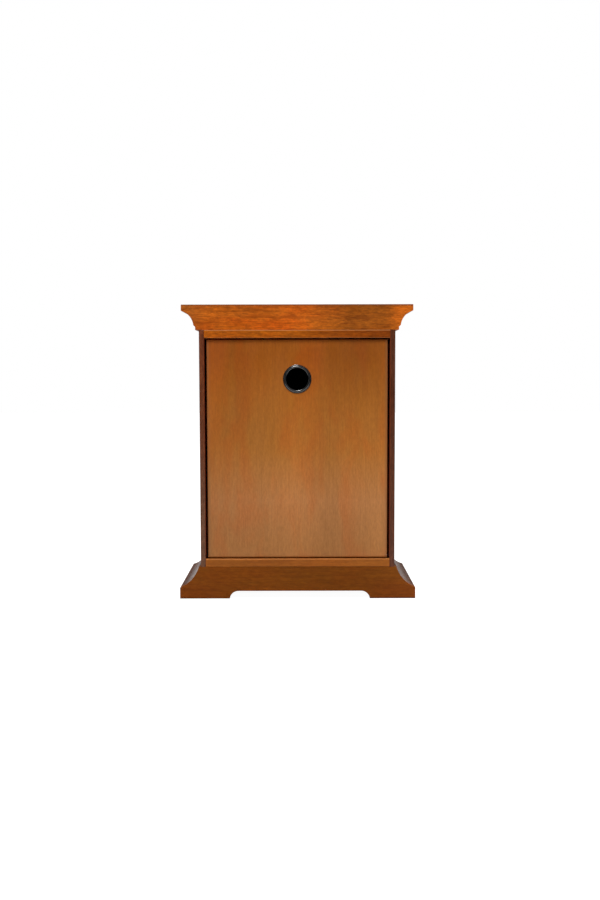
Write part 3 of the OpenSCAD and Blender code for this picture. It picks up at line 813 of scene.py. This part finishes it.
def flap_sheet():
    """A folded steel sheet: bent forward at its foot and rolled round the rod at its top."""
    lo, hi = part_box("slot_flap")
    rod_lo, rod_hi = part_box("flap_rod")
    rod = (rod_lo + rod_hi) / 2
    back_y = lo.y + SHEET / 2
    roll = rod.y - back_y
    corner_y, corner_z = back_y + SHEET_BEND, lo.z + SHEET / 2 + SHEET_BEND
    path = [(hi.y - 0.3 * MM - SHEET / 2, lo.z + SHEET / 2 + 0.05 * MM)]
    for degrees in range(0, 91, 15):
        a = math.radians(degrees)
        path.append((corner_y - SHEET_BEND * math.sin(a), corner_z - SHEET_BEND * math.cos(a)))
    path += [(back_y, corner_z + (rod.z - corner_z) * k / 6) for k in range(1, 6)]
    for degrees in range(0, 331, 11):
        a = math.radians(degrees)
        path.append((rod.y - roll * math.cos(a), rod.z + roll * math.sin(a)))
    bm = bmesh.new()
    middle = [lo.x + (hi.x - lo.x) * k / 12 for k in range(1, 12)]
    rows = []
    for x in [lo.x, lo.x + 0.5 * MM, *middle, hi.x - 0.5 * MM, hi.x]:
        ease = SHEET_EASE if x in (lo.x, hi.x) else 0.0
        row = []
        for i, (y, z) in enumerate(path):
            before, after = path[max(0, i - 1)], path[min(len(path) - 1, i + 1)]
            along = Vector((after[0] - before[0], after[1] - before[1])).normalized()
            side = Vector((-along.y, along.x)) * (SHEET / 2 - ease)
            tuck = along * (ease if i == 0 else -ease if i == len(path) - 1 else 0)
            row.append([
                bm.verts.new((x, y + s * side.x + tuck.x, z + s * side.y + tuck.y)) for s in (1, -1)
            ])
        rows.append(row)
    for a, b in zip(rows, rows[1:]):
        for (p, q), (r, t) in zip(zip(a, a[1:]), zip(b, b[1:])):
            bm.faces.new((p[0], q[0], t[0], r[0]))
            bm.faces.new((p[1], r[1], t[1], q[1]))
        bm.faces.new((a[0][0], b[0][0], b[0][1], a[0][1]))
        bm.faces.new((a[-1][0], a[-1][1], b[-1][1], b[-1][0]))
    for row in (rows[0], rows[-1]):
        for p, q in zip(row, row[1:]):
            bm.faces.new((p[0], p[1], q[1], q[0]))
    piece("slot_flap_folded", built(bm), FINISHES["black_steel"], "flap", ["slot_flap"])


# ---- Floor mat ----

MAT_SPACING = 6 * MM
CORNER_STEPS = 6
PAD_INSET, PAD_CORNER = 3.5 * MM, 6 * MM
PAD_FOOT, PAD_TOP = 0.6 * MM, 6.4 * MM
PAD_VOXEL = 3.5 * MM
HELD_FOOT, HELD_EDGE = 1.5 * MM, 9 * MM  # the pad is held this far up, and this far in from its edge
PAD_UPPER = 4 * MM  # only points above this ripple
PRESSURE, FRAMES = 4, 20
CAP = 2.6 * MM  # how far the simulation may move a point
RIPPLE, RIPPLES_PER_METRE = 0.35 * MM, 26
TAPE_WAVE = 0.12 * MM
STITCH_INSET, STITCH_PITCH, STITCH_SHARE, STITCH_SIDES = 7.4 * MM, 6.5 * MM, 0.72, 6


def mat_outline(inset, corner):
    """Points round the mat, inset from its box, with rounded corners, about MAT_SPACING apart."""
    lo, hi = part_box("floor_mat")
    lo, hi = Vector((lo.x + inset, lo.y + inset)), Vector((hi.x - inset, hi.y - inset))
    points = []
    for cx, cy, turn in ((hi.x, hi.y, 0), (lo.x, hi.y, 90), (lo.x, lo.y, 180), (hi.x, lo.y, 270)):
        c = Vector((cx + (corner if cx == lo.x else -corner), cy + (corner if cy == lo.y else -corner)))
        for i in range(CORNER_STEPS + 1):
            a = math.radians(turn + 90 * i / CORNER_STEPS)
            points.append(c + corner * Vector((math.cos(a), math.sin(a))))
    line = []
    for a, b in zip(points, points[1:] + points[:1]):
        count = max(1, round((b - a).length / MAT_SPACING))
        line += [a.lerp(b, k / count) for k in range(count)]
    return line


def lengths(line):
    """The distance along a closed line to each of its points, and at the end its whole length."""
    total = [0.0]
    for a, b in zip(line, line[1:] + line[:1]):
        total.append(total[-1] + (b - a).length)
    return total


def at(line, total, distance):
    """The point that is a distance along a closed line."""
    k = next(i for i in range(len(line)) if total[i + 1] >= distance)
    return line[k].lerp(line[(k + 1) % len(line)], (distance - total[k]) / (total[k + 1] - total[k]))


def mat_pad():
    """The felt pad: blown up by a cloth simulation between its bound edges, and flat underneath."""
    lo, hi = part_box("floor_mat")
    line = mat_outline(PAD_INSET, PAD_CORNER)
    bm = bmesh.new()
    low = [bm.verts.new((p.x, p.y, lo.z + PAD_FOOT)) for p in line]
    top = [bm.verts.new((p.x, p.y, lo.z + PAD_TOP)) for p in line]
    bm.faces.new(low)
    bm.faces.new(top)
    for i in range(len(line)):
        j = (i + 1) % len(line)
        bm.faces.new((low[i], low[j], top[j], top[i]))
    pad = bpy.data.objects.new("pad", built(bm))
    scene.collection.objects.link(pad)
    remesh = pad.modifiers.new("remesh", "REMESH")
    remesh.mode, remesh.voxel_size = "VOXEL", PAD_VOXEL
    mesh = evaluated(pad)
    pad.modifiers.clear()
    pad.data = mesh
    rest = [v.co.copy() for v in mesh.vertices]
    centre, half = (lo + hi) / 2, (hi - lo) / 2
    edge = pad.vertex_groups.new(name="edge")
    held = [
        v.index for v in mesh.vertices
        if v.co.z < lo.z + HELD_FOOT
        or half.x - abs(v.co.x - centre.x) < HELD_EDGE
        or half.y - abs(v.co.y - centre.y) < HELD_EDGE
    ]
    edge.add(held, 1.0, "REPLACE")
    cloth = pad.modifiers.new("cloth", "CLOTH")
    settings = cloth.settings
    settings.quality, settings.mass = 6, 0.3
    settings.tension_stiffness = settings.compression_stiffness = 8
    settings.use_pressure, settings.uniform_pressure_force = True, PRESSURE
    settings.vertex_group_mass, settings.pin_stiffness = "edge", 1.0
    settings.effector_weights.gravity = 0
    cloth.point_cache.frame_start, cloth.point_cache.frame_end = 1, FRAMES
    for frame_number in range(1, FRAMES + 1):
        scene.frame_set(frame_number)
    blown = pad.evaluated_get(bpy.context.evaluated_depsgraph_get()).data
    places = [v.co.copy() for v in blown.vertices]
    scene.frame_set(1)
    pad.modifiers.clear()
    for vertex, before, after in zip(mesh.vertices, rest, places):
        move = after - before
        if move.length > CAP:
            move *= CAP / move.length
        spot = before + move
        if before.z > lo.z + PAD_UPPER:
            wave = Vector((spot.x * RIPPLES_PER_METRE, spot.y * RIPPLES_PER_METRE, 3.1))
            spot.z += RIPPLE * noise.noise(wave)
        spot.z = min(max(spot.z, lo.z + 0.05 * MM), hi.z - 0.2 * MM)
        vertex.co = spot
    smooth = pad.modifiers.new("smooth", "SUBSURF")
    smooth.levels = smooth.render_levels = 1
    mesh = evaluated(pad)
    bpy.data.objects.remove(pad)
    made = piece("floor_mat_pad", mesh, FINISHES["felt"], "cabinet", ["floor_mat"], 0)


def mat_binding():
    """A folded tape round the mat's edge."""
    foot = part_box("floor_mat")[0].z
    bm = bmesh.new()
    section = (  # each point's inset and height, in mm
        (9.5, 7.35), (8.9, 7.75), (4.0, 8.0), (1.6, 7.9), (0.5, 7.0), (0.15, 5.2), (0.15, 3.0), (0.6, 1.0),
        (1.8, 0.15), (8.5, 0.05), (9.5, 0.2), (9.5, 0.9), (3.0, 1.2), (2.0, 3.0), (2.0, 5.2), (3.0, 6.7)
    )
    loops = [(mat_outline(inset * MM, max(2.0, 10 - inset) * MM), height) for inset, height in section]
    count = min(len(line) for line, _ in loops)
    rings = []
    for line, height in loops:
        total = lengths(line)
        ring = []
        for i in range(count):
            p = at(line, total, total[-1] * i / count)
            wave = TAPE_WAVE * math.sin(i * 2.1) if height > 5 else 0
            ring.append(bm.verts.new((p.x, p.y, foot + height * MM + wave)))
        rings.append(ring)
    for a, b in zip(rings, rings[1:] + rings[:1]):
        for i in range(count):
            j = (i + 1) % count
            bm.faces.new((a[i], a[j], b[j], b[i]))
    piece("floor_mat_binding", built(bm), FINISHES["tape"], "cabinet", (), 0)


def mat_stitches():
    """A row of stitches along the tape."""
    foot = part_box("floor_mat")[0].z
    line = mat_outline(STITCH_INSET, 2.6 * MM)
    total = lengths(line)
    bm = bmesh.new()
    count = round(total[-1] / STITCH_PITCH)
    pitch = total[-1] / count
    arch = (  # each point's share of the stitch, height above the tape and radius, the last two in mm
        (0.0, -0.25, 0.12), (0.15, 0.12, 0.32), (0.5, 0.28, 0.36), (0.85, 0.12, 0.32), (1.0, -0.25, 0.12)
    )
    for n in range(count):
        rings = []
        for part, lift, size in arch:
            distance = (n + STITCH_SHARE * part) * pitch
            p = at(line, total, distance)
            along = (at(line, total, (distance + 0.4 * MM) % total[-1]) - p).normalized()
            across = Vector((-along.y, along.x, 0))
            centre = Vector((p.x, p.y, foot + (7.9 + lift) * MM))
            turns = [math.pi * 2 * i / STITCH_SIDES for i in range(STITCH_SIDES)]
            rings.append([
                bm.verts.new(centre + size * MM * (across * math.cos(t) + Vector((0, 0, 1)) * math.sin(t)))
                for t in turns
            ])
        for a, b in zip(rings, rings[1:]):
            for i in range(STITCH_SIDES):
                j = (i + 1) % STITCH_SIDES
                bm.faces.new((a[i], a[j], b[j], b[i]))
        bm.faces.new(rings[0])
        bm.faces.new(rings[-1])
    piece("floor_mat_stitches", built(bm), FINISHES["thread"], "cabinet", (), 0)


finger_ring()
ring_collar()
for node, facing, body, pan in (
    ("crown_screws", (0, 0, -1), "cabinet", False),
    ("plinth_screws", (0, 0, -1), "cabinet", False),
    ("chute_screws", (0, -1, 1), "cabinet", False),
    ("strike_screws", (0, 1, 0), "door", True),
    ("catch_screws", (0, 0, -1), "cabinet", True),
    ("bracket_screws", (0, -1, 0), "cabinet", True),
):
    screws(node, facing, body, pan)
flap_sheet()
mat_pad()
mat_binding()
mat_stitches()

# ---- Floor, world and lights ----

FLOOR_REACH = 12
WHITE = (1, 1, 1, 1)


def camera_sees(g, lit, seen):
    """A shader that is seen to the camera, and lit to everything else."""
    path = g.node("ShaderNodeLightPath")
    return g.node("ShaderNodeMixShader", {0: path.outputs["Is Camera Ray"], 1: lit, 2: seen}).outputs[0]


def white_floor():
    """A pale floor that turns dark further off, and is white to the camera everywhere."""
    mesh = bpy.data.meshes.new("studio_floor")
    corners = [(x * FLOOR_REACH, y * FLOOR_REACH, 0) for x, y in ((-1, -1), (1, -1), (1, 1), (-1, 1))]
    mesh.from_pydata(corners, [], [(0, 1, 2, 3)])
    floor = bpy.data.objects.new("studio_floor", mesh)
    scene.collection.objects.link(floor)
    material, g, shader = start("studio_floor")
    mesh.materials.append(material)
    place = g.coords.outputs["Object"]
    speck = g.fit(g.noise(place, 6.0, 2.0), 0.3, 0.7, 0.97, 1.0)
    distance = g.node("ShaderNodeVectorMath", {0: place}, operation="LENGTH").outputs["Value"]
    far = g.fit(distance, 1.1, 2.6, smooth=True)
    grey = g.mix(far, (0.72, 0.72, 0.72, 1), (0.06, 0.06, 0.06, 1))
    g.put(shader.inputs["Base Color"], g.bright(grey, speck))
    g.put(shader.inputs["Roughness"], 0.9)
    seen = g.node("ShaderNodeBsdfPrincipled", {"Base Color": (0.3, 0.3, 0.3, 1), "Roughness": 0.9})
    g.put(seen.inputs["Specular IOR Level"], 0.0)
    g.put(seen.inputs["Emission Color"], WHITE)
    g.put(seen.inputs["Emission Strength"], g.add(g.mul(far, 0.05), 0.97))
    g.put(g.out.inputs["Surface"], camera_sees(g, shader.outputs[0], seen.outputs[0]))


def studio_world():
    """White to the camera. To surfaces: bright above and at both sides, dim level with the two faces."""
    world = bpy.data.worlds.new("studio")
    scene.world = world
    world.use_nodes = True
    g = Graph(world.node_tree)
    direction = g.node("ShaderNodeTexCoord").outputs["Generated"]
    x, _, z = g.node("ShaderNodeSeparateXYZ", {0: direction}).outputs[:3]
    above = g.fit(z, 0.3, 1.0, 0.0, 0.8, smooth=True)
    beside = g.fit(g.math("ABSOLUTE", x), 0.6, 0.98, 0.0, 0.45, smooth=True)
    level = g.add(g.add(above, beside), 0.02)
    lit = g.node("ShaderNodeBackground", {0: WHITE, 1: level})
    seen = g.node("ShaderNodeBackground", {0: WHITE, 1: 1.0})
    g.node("ShaderNodeOutputWorld", {0: camera_sees(g, lit.outputs[0], seen.outputs[0])})


def softbox(name, place, power):
    """A round lamp, 1.3 m across, aimed at the middle of the object."""
    light = bpy.data.lights.new(name, "AREA")
    light.shape, light.size, light.energy = "DISK", 1.3, power
    obj = bpy.data.objects.new(name, light)
    scene.collection.objects.link(obj)
    obj.location = place
    obj.rotation_euler = (Vector((0, 0, 0.35)) - Vector(place)).to_track_quat("-Z", "Y").to_euler()


white_floor()
studio_world()
softbox("key", (-0.5, -1.9, 3.4), 95)
softbox("back", (0.5, 1.9, 3.4), 80)
